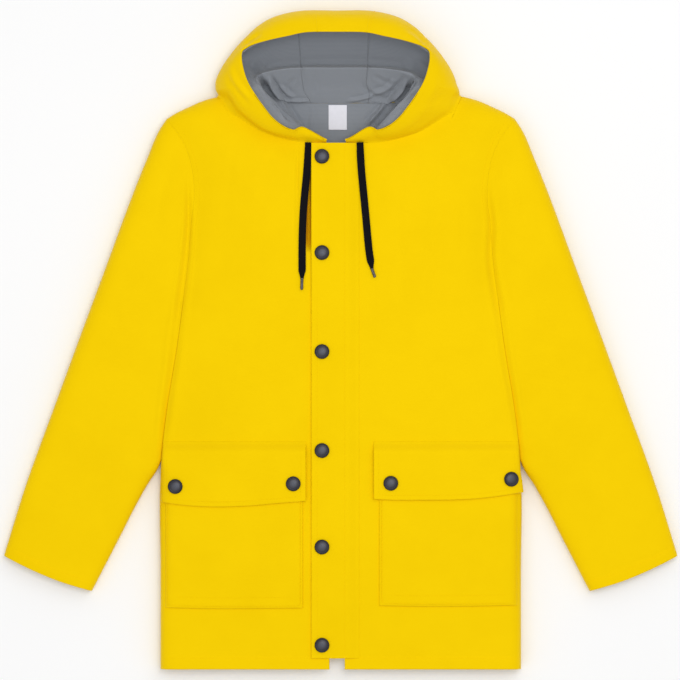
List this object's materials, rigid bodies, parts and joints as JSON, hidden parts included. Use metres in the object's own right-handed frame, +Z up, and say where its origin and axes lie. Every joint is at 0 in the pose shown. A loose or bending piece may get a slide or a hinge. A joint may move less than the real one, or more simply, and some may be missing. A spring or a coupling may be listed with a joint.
{
  "type": "parka",
  "caption": "Child's hooded raincoat laid flat on its back, with a snap placket, flapped patch pockets, hood lining and hanging drawcord ends.",
  "frame": {"origin": "centre of the laid coat's bounding box, on the surface it lies on", "axes": "+Z up out of the fronts, +Y from the hem towards the hood, +X across the sleeves towards the wearer's left"},
  "size_m": [0.674, 0.6573, 0.0481],
  "materials": {
    "yellow": "coated cotton, satin",
    "lining": "fine striped jersey",
    "label": "woven tape",
    "snap": "gunmetal gloss",
    "cord": "flat woven cord",
    "tip": "satin"
  },
  "bodies": {
    "root": {"back": "yellow", "front_right": "yellow", "front_left": "yellow", "placket": "yellow", "sleeve_front_right": "yellow", "sleeve_back_right": "yellow", "sleeve_front_left": "yellow", "sleeve_back_left": "yellow", "pocket_right": "yellow", "pocket_left": "yellow", "flap_right": "yellow", "flap_left": "yellow", "hood_right": "yellow", "hood_left": "yellow", "hood_centre": "yellow", "hood_lining_right": "lining", "hood_lining_left": "lining", "hood_lining_centre": "lining", "neck_lining": "lining", "label": "label", "drawcord_right": "cord", "drawcord_left": "cord", "cord_tip_right": "tip", "cord_tip_left": "tip", "snap_front_1": "snap", "snap_front_2": "snap", "snap_front_3": "snap", "snap_front_4": "snap", "snap_front_5": "snap", "snap_front_6": "snap", "snap_flap_right_a": "snap", "snap_flap_right_b": "snap", "snap_flap_left_a": "snap", "snap_flap_left_b": "snap"}
  },
  "joints": []
}
